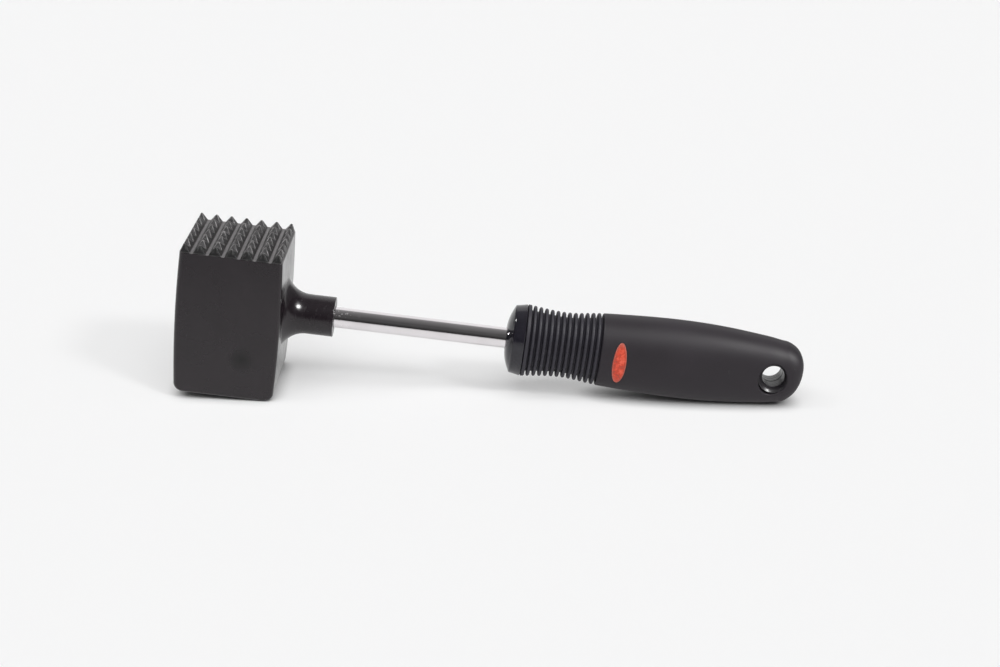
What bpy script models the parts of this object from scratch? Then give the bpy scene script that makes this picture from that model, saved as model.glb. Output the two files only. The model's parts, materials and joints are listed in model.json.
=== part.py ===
import math

import bmesh
import bpy

# Lengths are in metres. The tool is laid out on a level axis: x runs from the head along the handle,
# y runs through the thickness and z runs up through the toothed face. Distances along x named "_at"
# are measured from the middle of the head. The whole tool is then turned to lie as it rests.

# Head block
head_length = 0.0415
head_depth = 0.0415
head_above_axis = 0.02865
head_below_axis = 0.0329
head_bottom_rounding = 0.002
head_near_corner = 0.0009
head_far_corner = 0.0015
head_least_corner = 0.00035
head_end_bulge = 0.0009
head_end_draft = 0.00035
head_edge_hollow = 0.0004
head_foot_corner = 0.0026

# Teeth
tooth_pitch = 0.00632
tooth_height = 0.0033
tooth_tip_width = 0.0007
tooth_notch_floor = 0.0008
tooth_outer_flank = 0.0005
tooth_line_apart = 0.0002
groove_width = 0.0014
tooth_margin = 0.0004

# Neck
neck_radius = 0.00835
neck_end_at = 0.0419
neck_flare_radius = 0.0105
neck_flare_lead = 0.0004
neck_lip = 0.0003
neck_root = 0.003

# Shaft
shaft_radius = 0.00435
shaft_front_at = 0.012
shaft_rear_at = 0.188
shaft_end_chamfer = 0.0006
anchor_groove_count = 3
anchor_groove_pitch = 0.0045
anchor_groove_width = 0.0016
anchor_groove_depth = 0.0007
anchor_first_at = 0.017

# Clearances
fit_gap = 0.0003
overrun = 0.002

# Ferrule
ferrule_front_at = 0.1141
ferrule_edge_at = 0.1176
ferrule_rear_at = 0.12175
ferrule_front_half_height = 0.0146
ferrule_front_half_thickness = 0.0116
ferrule_lip_rounding = 0.0004
ferrule_wall = 0.0022
ferrule_nose_wall = 0.0030
ferrule_dome_power = 1.75

# Grip: (distance along the axis, half height, half thickness)
grip_front_at = 0.12205
grip_waist_at = 0.1385
grip_body_at = 0.1537
grip_belly_at = 0.183
grip_hip_at = 0.205
grip_tail_at = 0.23095
grip_end_at = 0.24175
grip_front_half_height = 0.01547
grip_waist_half_height = 0.0140
grip_body_half_height = 0.01542
grip_belly_half_height = 0.01667
grip_hip_half_height = 0.01612
grip_tail_half_height = 0.01350
grip_front_half_thickness = 0.0123
grip_waist_half_thickness = 0.0113
grip_body_half_thickness = 0.0121
grip_belly_half_thickness = 0.0124
grip_hip_half_thickness = 0.0114
grip_tail_half_thickness = 0.0096
grip_shoulder_rounding = 0.0006
section_power_front = 2.1
section_power_tail = 2.6
cap_height_power = 2.0
cap_thickness_power = 2.8

# Ribs
rib_count = 12
rib_pitch = 0.00245
rib_width = 0.00135
rib_depth = 0.0021
rib_first_at = 0.1251
front_ring_width = 0.0015

# Core under the grip
rib_wall = 0.0044
body_wall = 0.0032
wall_change_from_at = 0.150
wall_change_to_at = 0.158
core_step_at = 0.12155
core_tail_at = 0.2295

# Cross pin
pin_at = 0.178
pin_radius = 0.0015
pin_inset = 0.0012

# Hanging eye
eye_at = 0.2279
eye_drop = 0.0002
eye_bore_radius = 0.00475
eye_barrel_radius = 0.0069
eye_bore_half_length = 0.0059
eye_barrel_half_length = 0.0079
eye_mouth_radius = 0.0063
eye_joint_chamfer = 0.0003
eye_opening_half_length = 0.00615
eye_opening_half_height = 0.00695

# Badge
badge_at = 0.1625
badge_drop = 0.0004
badge_half_width = 0.00315
badge_half_height = 0.0091
badge_thickness = 0.0012
badge_rim_width = 0.0006
badge_rim_rise = 0.00015
badge_field_sink = 0.0001

# Finishes: base colour, how metallic and how rough
finishes = {
    "cast_head": ((0.045, 0.042, 0.045), 0.6, 0.45),
    "bright_rod": ((0.75, 0.75, 0.76), 1, 0.08),
    "ferrule_gloss": ((0.015, 0.015, 0.017), 0, 0.12),
    "core_plastic": ((0.03, 0.03, 0.03), 0, 0.5),
    "pin_steel": ((0.55, 0.55, 0.56), 1, 0.3),
    "soft_grip": ((0.035, 0.034, 0.036), 0, 0.65),
    "eye_gloss": ((0.02, 0.02, 0.022), 0, 0.15),
    "badge_red": ((0.58, 0.07, 0.04), 0, 0.4),
}

# Angles in degrees
smoothing_angle = 35
largest_lean = 20

# Shares of a size
cap_last_step_share = 1 / 2
badge_rim_slope_share = 1 / 3
rib_edge_share = 1 / 4

# Counts of flat sides and steps
round_sides = 32
section_sides = 28
corner_steps = 4
foot_rounding_steps = 2
rib_tip_steps = 2
body_steps = 18
cap_steps = 7
head_levels = 8
dome_steps = 7
badge_sides = 28
lean_steps = 60


def clear_scene():
    for obj in list(bpy.data.objects):
        bpy.data.objects.remove(obj, do_unlink=True)


def mesh_object(name, points, faces):
    mesh = bpy.data.meshes.new(name)
    mesh.from_pydata(points, [], faces)
    bm = bmesh.new()
    bm.from_mesh(mesh)
    bmesh.ops.recalc_face_normals(bm, faces=bm.faces)
    bm.to_mesh(mesh)
    bm.free()
    obj = bpy.data.objects.new(name, mesh)
    bpy.context.scene.collection.objects.link(obj)
    return obj


def smooth_object(obj):
    for polygon in obj.data.polygons:
        polygon.use_smooth = True
    obj.data.set_sharp_from_angle(angle=math.radians(smoothing_angle))


def loft_faces(ring_count, sides):
    """Side quads between rings of equal count, with a flat cap on the first and the last."""
    faces = []
    for ring in range(ring_count - 1):
        for side in range(sides):
            following = (side + 1) % sides
            low = ring * sides
            high = low + sides
            faces.append((low + side, low + following, high + following, high + side))
    faces.append(tuple(range(sides)))
    last = (ring_count - 1) * sides
    faces.append(tuple(last + side for side in range(sides)))
    return faces


def loft(name, rings):
    points = [point for ring in rings for point in ring]
    return mesh_object(name, points, loft_faces(len(rings), len(rings[0])))


def strip_cap(start, sides):
    """Closes a curved oval ring with strips that run straight across it, so that it keeps its curve."""
    quarter = sides // 4
    faces = []
    for step in range(-quarter, quarter):
        corners = []
        for turn in (step, step + 1, sides // 2 - step - 1, sides // 2 - step):
            corner = start + turn % sides
            if corner not in corners:
                corners.append(corner)
        faces.append(tuple(corners))
    return faces


def curved_loft(name, rings):
    sides = len(rings[0])
    points = [point for ring in rings for point in ring]
    faces = loft_faces(len(rings), sides)[:-2]
    faces += strip_cap(0, sides)
    faces += strip_cap((len(rings) - 1) * sides, sides)
    return mesh_object(name, points, faces)


def circle_ring(x, radius):
    ring = []
    for side in range(round_sides):
        turn = math.tau * side / round_sides
        ring.append((x, radius * math.cos(turn), radius * math.sin(turn)))
    return ring


def turned_on_axis(name, profile):
    """A solid of revolution about the handle axis from (x, radius) points."""
    return loft(name, [circle_ring(x, radius) for x, radius in profile])


def oval_ring(x, half_height, half_thickness, power):
    """A superellipse: power 2 is an ellipse and a higher power has flatter sides."""
    share = 2 / power
    ring = []
    for side in range(section_sides):
        turn = math.tau * side / section_sides
        across = math.cos(turn)
        up = math.sin(turn)
        y = half_thickness * math.copysign(abs(across) ** share, across)
        z = half_height * math.copysign(abs(up) ** share, up)
        ring.append((x, y, z))
    return ring


def add_boolean(obj, other, operation):
    modifier = obj.modifiers.new(operation.lower() + "_" + other.name, "BOOLEAN")
    modifier.operation = operation
    modifier.solver = "EXACT"
    modifier.object = other
    other.hide_render = True
    other.display_type = "WIRE"


def blend(stations, x, column):
    """A smooth curve through the stations, with slopes taken from the neighbouring stations."""
    count = len(stations)
    index = 0
    while index < count - 2 and x > stations[index + 1][0]:
        index += 1
    slopes = []
    for end in (index, index + 1):
        before = stations[max(end - 1, 0)]
        after = stations[min(end + 1, count - 1)]
        slopes.append((after[column] - before[column]) / (after[0] - before[0]))
    start = stations[index]
    finish = stations[index + 1]
    span = finish[0] - start[0]
    t = min(max((x - start[0]) / span, 0), 1)
    value = start[column] * (1 + 2 * t) * (1 - t) ** 2
    value += slopes[0] * span * t * (1 - t) ** 2
    value += finish[column] * t * t * (3 - 2 * t)
    value += slopes[1] * span * t * t * (t - 1)
    return value


grip_stations = (
    (grip_front_at, grip_front_half_height, grip_front_half_thickness),
    (grip_waist_at, grip_waist_half_height, grip_waist_half_thickness),
    (grip_body_at, grip_body_half_height, grip_body_half_thickness),
    (grip_belly_at, grip_belly_half_height, grip_belly_half_thickness),
    (grip_hip_at, grip_hip_half_height, grip_hip_half_thickness),
    (grip_tail_at, grip_tail_half_height, grip_tail_half_thickness),
)


def grip_half_height(x):
    return blend(grip_stations, x, 1)


def grip_half_thickness(x):
    return blend(grip_stations, x, 2)


def section_power(x):
    along = min(max((x - grip_front_at) / (grip_tail_at - grip_front_at), 0), 1)
    return section_power_front + (section_power_tail - section_power_front) * along


def grip_ring(x, inset):
    return oval_ring(x, grip_half_height(x) - inset, grip_half_thickness(x) - inset, section_power(x))


def cap_rings(start, end, inset):
    """The rounded tail: each section shrinks towards the end, faster in height than in thickness."""
    rings = []
    for step in range(1, cap_steps + 1):
        along = math.sin(math.pi / 2 * step / (cap_steps + cap_last_step_share))
        height_share = (1 - along**cap_height_power) ** (1 / cap_height_power)
        thickness_share = (1 - along**cap_thickness_power) ** (1 / cap_thickness_power)
        half_height = (grip_tail_half_height - inset) * height_share
        half_thickness = (grip_tail_half_thickness - inset) * thickness_share
        x = start + (end - start) * along
        rings.append(oval_ring(x, half_height, half_thickness, section_power_tail))
    return rings


def rounded_box_ring(z, inset, far_shift):
    """A level slice of the head: a rectangle with rounded corners, tighter on the handle side.

    The lower edge on that side is a little hollow in the middle, so the head stands on its ends.
    """
    half_length = head_length / 2 - inset
    half_depth = head_depth / 2 - inset
    near = max(head_near_corner - inset, head_least_corner)
    far = max(head_far_corner - inset, head_least_corner)
    corners = (
        (half_length - near, half_depth - near, near, 0),
        (far - half_length - far_shift, half_depth - far, far, 1),
        (far - half_length - far_shift, far - half_depth, far, 2),
        (half_length - near, near - half_depth, near, 3),
    )
    ring = []
    for x, y, radius, quarter in corners:
        for step in range(corner_steps + 1):
            turn = math.pi / 2 * (quarter + step / corner_steps)
            ring.append((x + radius * math.cos(turn), y + radius * math.sin(turn), z))
    ring.append((half_length - head_edge_hollow * inset / head_bottom_rounding, 0, z))
    return ring


def far_face_shift(z):
    """How far the end face away from the handle stands out at this level."""
    down = (head_above_axis - z) / (head_above_axis + head_below_axis)
    return 4 * head_end_bulge * down * (1 - down) - head_end_draft * down


def foot_corners():
    """The flat lower face: a rectangle with its corners cut, and one side a little hollow."""
    z = -head_below_axis
    half_length = head_length / 2 - head_bottom_rounding
    half_depth = head_depth / 2 - head_bottom_rounding
    far = -half_length - far_face_shift(z)
    inner = half_depth - head_foot_corner
    return [
        (half_length, inner, z),
        (half_length - head_foot_corner, half_depth, z),
        (far + head_foot_corner, half_depth, z),
        (far, inner, z),
        (far, -inner, z),
        (far + head_foot_corner, -half_depth, z),
        (half_length - head_foot_corner, -half_depth, z),
        (half_length, -inner, z),
        (half_length - head_edge_hollow, 0, z),
    ]


def foot_faces(foot, ring):
    """Joins the flat lower face to the first full slice above it."""
    faces = [tuple(reversed(foot))]
    middle = corner_steps // 2
    for corner in range(4):
        first = foot[2 * corner]
        second = foot[2 * corner + 1]
        start = corner * (corner_steps + 1)
        for step in range(corner_steps):
            near = first if step < middle else second
            faces.append((near, ring[start + step], ring[start + step + 1]))
        faces.append((first, ring[start + middle], second))
    for corner in range(3):
        after = (corner + 1) * (corner_steps + 1)
        faces.append((foot[2 * corner + 1], ring[after - 1], ring[after], foot[2 * corner + 2]))
    faces.append((foot[7], ring[-2], ring[-1], foot[8]))
    faces.append((foot[8], ring[-1], ring[0], foot[0]))
    return faces


def head_block_rings():
    rings = []
    for step in range(1, foot_rounding_steps + 1):
        turn = math.pi / 2 * step / foot_rounding_steps
        inset = head_bottom_rounding * (1 - math.sin(turn))
        z = head_bottom_rounding * (1 - math.cos(turn)) - head_below_axis
        rings.append(rounded_box_ring(z, inset, far_face_shift(z)))
    start = head_bottom_rounding - head_below_axis
    for level in range(1, head_levels + 1):
        z = start + (head_above_axis - start) * level / head_levels
        rings.append(rounded_box_ring(z, 0, far_face_shift(z)))
    return rings


def tooth_lines(limit, bottom_half_width):
    """Where the grid of the toothed face has its lines along one direction, with the kind of each."""
    lines = []
    outermost = limit - tooth_tip_width / 2 - tooth_outer_flank
    gaps = int(2 * outermost / tooth_pitch)
    for row in range(gaps + 1):
        centre = (row - gaps / 2) * tooth_pitch
        lines.append((max(centre - bottom_half_width, -limit), "foot"))
        lines.append((centre - tooth_tip_width / 2, "tip"))
        lines.append((centre + tooth_tip_width / 2, "tip"))
        lines.append((min(centre + bottom_half_width, limit), "foot"))
    merged = [lines[0]]
    for line in lines[1:]:
        if line[0] - merged[-1][0] > tooth_line_apart:
            merged.append(line)
    return merged


def tooth_level(across_kind, along_kind, on_rim):
    if across_kind == "tip" and along_kind == "tip":
        return tooth_height
    if across_kind == "tip" and not on_rim:
        return tooth_notch_floor
    return 0


def add_teeth(bm, rim):
    """The toothed face: rows of pyramids, notched along each row, with flat grooves between rows."""
    across = tooth_lines(head_length / 2 - tooth_margin, (tooth_pitch - groove_width) / 2)
    along = tooth_lines(head_depth / 2 - tooth_margin, tooth_pitch / 2)
    last = len(along) - 1
    grid = []
    for x, x_kind in across:
        column = []
        for index, (y, y_kind) in enumerate(along):
            level = tooth_level(x_kind, y_kind, index in (0, last))
            column.append(bm.verts.new((x, y, head_above_axis + level)))
        grid.append(column)
    for i in range(len(across) - 1):
        for j in range(last):
            corners = (grid[i][j], grid[i + 1][j], grid[i + 1][j + 1], grid[i][j + 1])
            levels = [corner.co.z for corner in corners]
            top = levels.index(max(levels))
            turned = corners[top:] + corners[:top]
            bm.faces.new((turned[0], turned[1], turned[2]))
            bm.faces.new((turned[0], turned[2], turned[3]))
    border = [edge for edge in bm.edges if edge.is_boundary]
    loose = set(border) | set(rim)
    bmesh.ops.triangle_fill(bm, edges=list(loose), use_beauty=True)


def head_solid():
    rings = head_block_rings()
    sides = len(rings[0])
    bm = bmesh.new()
    rows = [[bm.verts.new(point) for point in ring] for ring in rings]
    for low, high in zip(rows, rows[1:]):
        for side in range(sides):
            following = (side + 1) % sides
            bm.faces.new((low[side], low[following], high[following], high[side]))
    foot = [bm.verts.new(point) for point in foot_corners()]
    for face in foot_faces(foot, rows[0]):
        bm.faces.new(face)
    rim = [edge for edge in bm.edges if edge.is_boundary]
    add_teeth(bm, rim)
    bmesh.ops.recalc_face_normals(bm, faces=bm.faces)
    mesh = bpy.data.meshes.new("head")
    bm.to_mesh(mesh)
    bm.free()
    obj = bpy.data.objects.new("head", mesh)
    bpy.context.scene.collection.objects.link(obj)
    return obj


def neck_solid():
    """The neck flares out to meet the block, and starts inside it so that the two join cleanly."""
    face = head_length / 2
    centre_x = face + neck_flare_radius - neck_flare_lead
    centre_radius = neck_radius + neck_flare_radius
    start_turn = math.acos((centre_x - face) / neck_flare_radius)
    profile = []
    for step in range(dome_steps + 1):
        turn = start_turn + (math.pi / 2 - start_turn) * step / dome_steps
        x = centre_x - neck_flare_radius * math.cos(turn)
        profile.append((x, centre_radius - neck_flare_radius * math.sin(turn)))
    profile.insert(0, (face - neck_root, profile[0][1]))
    profile.append((neck_end_at - neck_lip, neck_radius))
    profile.append((neck_end_at, neck_radius - neck_lip))
    return turned_on_axis("neck_form", profile)


def shaft_profile(extra):
    """The rod with its anchor grooves, grown by the given clearance for the sockets."""
    front = shaft_front_at - extra
    rear = shaft_rear_at + extra
    profile = [(front, shaft_radius - shaft_end_chamfer + extra)]
    profile.append((front + shaft_end_chamfer, shaft_radius + extra))
    for index in range(anchor_groove_count):
        middle = anchor_first_at + index * anchor_groove_pitch
        slope = anchor_groove_depth / 2
        half = anchor_groove_width / 2
        profile.append((middle - half - slope, shaft_radius + extra))
        profile.append((middle - half + slope, shaft_radius - anchor_groove_depth + extra))
        profile.append((middle + half - slope, shaft_radius - anchor_groove_depth + extra))
        profile.append((middle + half + slope, shaft_radius + extra))
    profile.append((rear - shaft_end_chamfer, shaft_radius + extra))
    profile.append((rear, shaft_radius - shaft_end_chamfer + extra))
    return profile


def crosswise_cylinder(name, x, radius, half_length):
    points = []
    for y in (-half_length, half_length):
        for side in range(round_sides):
            turn = math.tau * side / round_sides
            points.append((x + radius * math.cos(turn), y, radius * math.sin(turn)))
    return mesh_object(name, points, loft_faces(2, round_sides))


def core_wall(x):
    t = min(max((x - wall_change_from_at) / (wall_change_to_at - wall_change_from_at), 0), 1)
    return rib_wall + (body_wall - rib_wall) * t * t * (3 - 2 * t)


def stem_rings(start, extra):
    """The core where the grip covers it, grown by the given clearance for the cavity of the grip."""
    rings = [grip_ring(start, core_wall(start) - extra)]
    for step in range(1, body_steps):
        x = grip_front_at + (core_tail_at - grip_front_at) * step / body_steps
        rings.append(grip_ring(x, core_wall(x) - extra))
    rings.append(grip_ring(core_tail_at, body_wall - extra))
    end = grip_end_at - body_wall + extra
    for ring in cap_rings(core_tail_at, end, body_wall - extra):
        rings.append(ring)
    return rings


def core_solid():
    spigot_front = ferrule_front_at + ferrule_nose_wall + fit_gap
    inset = ferrule_wall + fit_gap
    half_height = ferrule_front_half_height - inset
    half_thickness = ferrule_front_half_thickness - inset
    spigot = [
        oval_ring(spigot_front, half_height - fit_gap, half_thickness - fit_gap, section_power_front),
        oval_ring(spigot_front + fit_gap, half_height, half_thickness, section_power_front),
        oval_ring(core_step_at, half_height, half_thickness, section_power_front),
    ]
    obj = loft("handle_core", spigot + stem_rings(core_step_at, 0))
    bore = turned_on_axis("core_bore", shaft_profile(fit_gap))
    add_boolean(obj, bore, "DIFFERENCE")
    return obj


def grip_solid():
    rings = [grip_ring(grip_front_at, rib_width / 2)]
    ring_end = grip_front_at + front_ring_width
    edge = rib_width * rib_edge_share
    rings.append(grip_ring(grip_front_at + edge, 0))
    rings.append(grip_ring(ring_end - edge, 0))
    rings.append(grip_ring(ring_end, rib_width / 2))
    rings.append(grip_ring(ring_end, rib_depth))
    half = rib_width / 2
    for index in range(rib_count):
        middle = rib_first_at + index * rib_pitch
        rings.append(grip_ring(middle - half, rib_depth))
        for step in range(rib_tip_steps + 1):
            turn = math.pi * step / rib_tip_steps
            rings.append(grip_ring(middle - half * math.cos(turn), half * (1 - math.sin(turn))))
        rings.append(grip_ring(middle + half, rib_depth))
    rings.append(grip_ring(grip_body_at, rib_depth))
    for step in range(corner_steps):
        turn = math.pi / 2 * step / (corner_steps - 1)
        x = grip_body_at + grip_shoulder_rounding * (1 - math.cos(turn))
        rings.append(grip_ring(x, grip_shoulder_rounding * (1 - math.sin(turn))))
    start = grip_body_at + grip_shoulder_rounding
    for step in range(1, body_steps + 1):
        rings.append(grip_ring(start + (grip_tail_at - start) * step / body_steps, 0))
    for ring in cap_rings(grip_tail_at, grip_end_at, 0):
        rings.append(ring)
    return loft("grip", rings)


def ferrule_solid():
    """An oval domed cap. The dome grows from the shaft hole to the full oval."""
    hole = shaft_radius + fit_gap
    rings = []
    depth = ferrule_edge_at - ferrule_front_at
    for step in range(dome_steps + 1):
        share = step / dome_steps
        half_height = hole + (ferrule_front_half_height - ferrule_lip_rounding - hole) * share
        half_thickness = hole + (ferrule_front_half_thickness - ferrule_lip_rounding - hole) * share
        power = 2 + (section_power_front - 2) * share
        x = ferrule_front_at + (depth - ferrule_lip_rounding) * share**ferrule_dome_power
        rings.append(oval_ring(x, half_height, half_thickness, power))
    rings.append(
        oval_ring(
            ferrule_edge_at,
            ferrule_front_half_height,
            ferrule_front_half_thickness,
            section_power_front,
        )
    )
    rings.append(grip_ring(ferrule_rear_at, 0))
    obj = loft("ferrule", rings)
    hole_form = turned_on_axis(
        "ferrule_hole",
        [(ferrule_front_at - overrun, hole), (ferrule_rear_at + overrun, hole)],
    )
    add_boolean(obj, hole_form, "DIFFERENCE")
    pocket_front = ferrule_front_at + ferrule_nose_wall
    half_height = ferrule_front_half_height - ferrule_wall
    half_thickness = ferrule_front_half_thickness - ferrule_wall
    pocket = loft(
        "ferrule_pocket",
        [
            oval_ring(pocket_front, half_height, half_thickness, section_power_front),
            oval_ring(ferrule_rear_at + overrun, half_height, half_thickness, section_power_front),
        ],
    )
    add_boolean(obj, pocket, "DIFFERENCE")
    return obj


def eye_ring(y, radius):
    ring = []
    for side in range(round_sides):
        turn = math.tau * side / round_sides
        ring.append((eye_at + radius * math.cos(turn), y, radius * math.sin(turn) - eye_drop))
    return ring


def eye_half(name, sign):
    """One half of the eye liner: a barrel with a straight bore and a funnel mouth."""
    profile = [
        (eye_bore_radius + eye_joint_chamfer, fit_gap / 2),
        (eye_barrel_radius, fit_gap / 2),
        (eye_barrel_radius, eye_barrel_half_length),
        (eye_mouth_radius, eye_barrel_half_length),
        (eye_bore_radius, eye_bore_half_length),
        (eye_bore_radius, eye_joint_chamfer + fit_gap / 2),
    ]
    points = []
    for radius, y in profile:
        for point in eye_ring(sign * y, radius):
            points.append(point)
    count = len(profile)
    faces = []
    for ring in range(count):
        low = ring * round_sides
        high = (ring + 1) % count * round_sides
        for side in range(round_sides):
            following = (side + 1) % round_sides
            faces.append((low + side, low + following, high + following, high + side))
    return mesh_object(name, points, faces)


def eye_barrel_form(name, radius, half_length):
    return loft(name, [eye_ring(-half_length, radius), eye_ring(half_length, radius)])


def eye_opening_form():
    """The oval window in the soft grip, through both faces."""
    reach = grip_belly_half_thickness + overrun
    points = []
    for y in (-reach, reach):
        for side in range(round_sides):
            turn = math.tau * side / round_sides
            x = eye_at + eye_opening_half_length * math.cos(turn)
            points.append((x, y, eye_opening_half_height * math.sin(turn) - eye_drop))
    return mesh_object("eye_opening", points, loft_faces(2, round_sides))


def front_surface(x, z):
    """The distance from the middle plane to the side of the grip at this place."""
    power = section_power(x)
    share = 1 - abs(z / grip_half_height(x)) ** power
    return grip_half_thickness(x) * share ** (1 / power)


def badge_ring(inset, depth):
    ring = []
    for side in range(badge_sides):
        turn = math.tau * side / badge_sides
        x = badge_at + (badge_half_width - inset) * math.cos(turn)
        z = (badge_half_height - inset) * math.sin(turn) - badge_drop
        ring.append((x, depth - front_surface(x, z), z))
    return ring


def badge_solid():
    """An oval inlay that follows the side of the grip, with a raised rim round a plain field."""
    rings = [
        badge_ring(0, badge_thickness),
        badge_ring(0, 0),
        badge_ring(badge_rim_width * badge_rim_slope_share, -badge_rim_rise),
        badge_ring(badge_rim_width * (1 - badge_rim_slope_share), -badge_rim_rise),
        badge_ring(badge_rim_width, badge_field_sink),
    ]
    return curved_loft("badge", rings)


def badge_pocket():
    rings = [badge_ring(-fit_gap, badge_thickness + fit_gap), badge_ring(-fit_gap, -overrun)]
    return curved_loft("badge_pocket", rings)


def material(name):
    colour, metallic, roughness = finishes[name]
    made = bpy.data.materials.new(name)
    made.use_nodes = True
    shader = made.node_tree.nodes["Principled BSDF"]
    shader.inputs["Base Color"].default_value = (*colour, 1)
    shader.inputs["Metallic"].default_value = metallic
    shader.inputs["Roughness"].default_value = roughness
    made.diffuse_color = (*colour, 1)
    return made


def build_head():
    head = head_solid()
    add_boolean(head, neck_solid(), "UNION")
    profile = shaft_profile(fit_gap)
    add_boolean(head, turned_on_axis("head_socket", profile), "DIFFERENCE")
    head.data.materials.append(material("cast_head"))
    return head


def build_shaft():
    shaft = turned_on_axis("shaft", shaft_profile(0))
    hole = crosswise_cylinder("shaft_cross_hole", pin_at, pin_radius + fit_gap, shaft_radius + overrun)
    add_boolean(shaft, hole, "DIFFERENCE")
    shaft.data.materials.append(material("bright_rod"))
    return shaft


def build_core():
    core = core_solid()
    reach = grip_belly_half_thickness
    cross_hole = crosswise_cylinder("core_cross_hole", pin_at, pin_radius + fit_gap, reach)
    add_boolean(core, cross_hole, "DIFFERENCE")
    barrel = eye_barrel_form("core_eye_hole", eye_barrel_radius + fit_gap, reach)
    add_boolean(core, barrel, "DIFFERENCE")
    core.data.materials.append(material("core_plastic"))
    return core


def build_pin():
    half_length = grip_half_thickness(pin_at) - core_wall(pin_at) - pin_inset
    pin = crosswise_cylinder("cross_pin", pin_at, pin_radius, half_length)
    pin.data.materials.append(material("pin_steel"))
    return pin


def build_grip():
    grip = grip_solid()
    start = grip_front_at - overrun
    cavity_rings = [grip_ring(grip_front_at, rib_wall - fit_gap)]
    cavity_rings[0] = [(start, y, z) for _, y, z in cavity_rings[0]]
    for ring in stem_rings(grip_front_at, fit_gap):
        cavity_rings.append(ring)
    add_boolean(grip, loft("grip_cavity", cavity_rings), "DIFFERENCE")
    pocket_radius = eye_barrel_radius + fit_gap
    pocket_half_length = eye_barrel_half_length + fit_gap
    eye_pocket = eye_barrel_form("grip_eye_pocket", pocket_radius, pocket_half_length)
    add_boolean(grip, eye_pocket, "DIFFERENCE")
    add_boolean(grip, eye_opening_form(), "DIFFERENCE")
    add_boolean(grip, badge_pocket(), "DIFFERENCE")
    grip.data.materials.append(material("soft_grip"))
    return grip


def build_ferrule():
    ferrule = ferrule_solid()
    ferrule.data.materials.append(material("ferrule_gloss"))
    return ferrule


def build_eye_liner():
    halves = [eye_half("eye_liner_front", -1), eye_half("eye_liner_rear", 1)]
    shared = material("eye_gloss")
    for half in halves:
        half.data.materials.append(shared)
    return halves


def build_badge():
    badge = badge_solid()
    badge.data.materials.append(material("badge_red"))
    return badge


def lowest(points, turn):
    return min(z * math.cos(turn) - x * math.sin(turn) for x, _, z in points)


def resting_turn(head_points, grip_points):
    """The lean at which the edge of the head and the underside of the grip touch one level surface."""
    low = 0.0
    high = math.radians(largest_lean)
    for _ in range(lean_steps):
        middle = (low + high) / 2
        if lowest(grip_points, middle) > lowest(head_points, middle):
            low = middle
        else:
            high = middle
    return (low + high) / 2


def rest_on_floor(pieces, head, grip):
    """Turns the whole tool to its resting lean and puts the middle of its footprint at the origin."""
    head_points = [tuple(vertex.co) for vertex in head.data.vertices]
    grip_points = [tuple(vertex.co) for vertex in grip.data.vertices]
    turn = resting_turn(head_points, grip_points)
    points = head_points + grip_points
    along = [x * math.cos(turn) + z * math.sin(turn) for x, _, z in points]
    stand = bpy.data.objects.new("resting_frame", None)
    bpy.context.scene.collection.objects.link(stand)
    stand.rotation_euler = (0, turn, 0)
    stand.location = (-(min(along) + max(along)) / 2, 0, -lowest(points, turn))
    for piece in pieces:
        piece.parent = stand


def main():
    clear_scene()
    head = build_head()
    grip = build_grip()
    pieces = [head, build_shaft(), build_ferrule(), build_core(), build_pin(), grip, build_badge()]
    pieces += build_eye_liner()
    for piece in pieces:
        smooth_object(piece)
    for obj in bpy.data.objects:
        if obj.hide_render:
            pieces.append(obj)
    rest_on_floor(pieces, head, grip)


main()
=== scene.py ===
import json
import math

import bmesh
import bpy
from mathutils import Matrix, Vector


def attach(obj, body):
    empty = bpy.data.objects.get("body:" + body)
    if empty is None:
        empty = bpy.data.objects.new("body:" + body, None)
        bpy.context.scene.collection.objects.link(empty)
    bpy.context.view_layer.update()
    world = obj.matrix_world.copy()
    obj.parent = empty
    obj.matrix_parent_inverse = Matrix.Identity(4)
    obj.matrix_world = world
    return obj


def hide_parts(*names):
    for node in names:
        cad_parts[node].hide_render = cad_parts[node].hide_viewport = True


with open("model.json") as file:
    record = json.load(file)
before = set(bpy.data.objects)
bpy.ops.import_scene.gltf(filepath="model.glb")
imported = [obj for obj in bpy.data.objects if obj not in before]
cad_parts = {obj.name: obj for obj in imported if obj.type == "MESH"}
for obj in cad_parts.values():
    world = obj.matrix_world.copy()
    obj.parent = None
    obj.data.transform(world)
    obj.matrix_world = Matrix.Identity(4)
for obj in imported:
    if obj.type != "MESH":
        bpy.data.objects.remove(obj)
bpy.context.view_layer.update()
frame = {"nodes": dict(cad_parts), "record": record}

# Lengths are in metres. Pieces are made on the tool's level axis: x runs from the middle of the
# head along the handle, y through the thickness and z up through the toothed face.
SKIN = 0.00003
SLIVER = 0.000001
CUT_GAP = 0.0002
CUT_REACH = 0.002

HEAD_LENGTH = 0.0415
HEAD_DEPTH = 0.0415
HEAD_ABOVE = 0.02865
HEAD_BELOW = 0.0329
END_ROUNDING = 0.0031
SIDE_ROUNDING = 0.0011
NEAR_CORNER = 0.0018
FAR_CORNER = 0.0023
TOP_EDGE = 0.00018
END_BULGE = 0.00088
END_DRAFT = 0.00035
NEAR_BULGE = 0.0008

ROWS = 7
PITCH = 0.00632
TOOTH_HEIGHT = 0.0033
TIP_HALF = 0.00034
NOTCH_FLOOR = 0.0008
GROOVE = 0.00105
MARGIN = 0.0004
TOOTH_EDGE = 0.0004
TOOTH_ROOT = 0.0012

SMUDGE = (0.0071, -0.02075, -0.0153)

NECK_RADIUS = 0.00835
NECK_END = 0.0419
FLARE_RADIUS = 0.0105
FLARE_LEAD = 0.0004
NECK_LIP = 0.0003
NECK_ROOT = 0.003
SOCKET_END = 0.012
SOCKET_GAP = 0.0002
SOCKET_CHAMFER_DEPTH = 0.0003
SOCKET_CHAMFER = 0.0005

SHAFT_RADIUS = 0.00435
SHAFT_FRONT = 0.0125
SHAFT_REAR = 0.1875
SHAFT_CHAMFER = 0.0006

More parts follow.
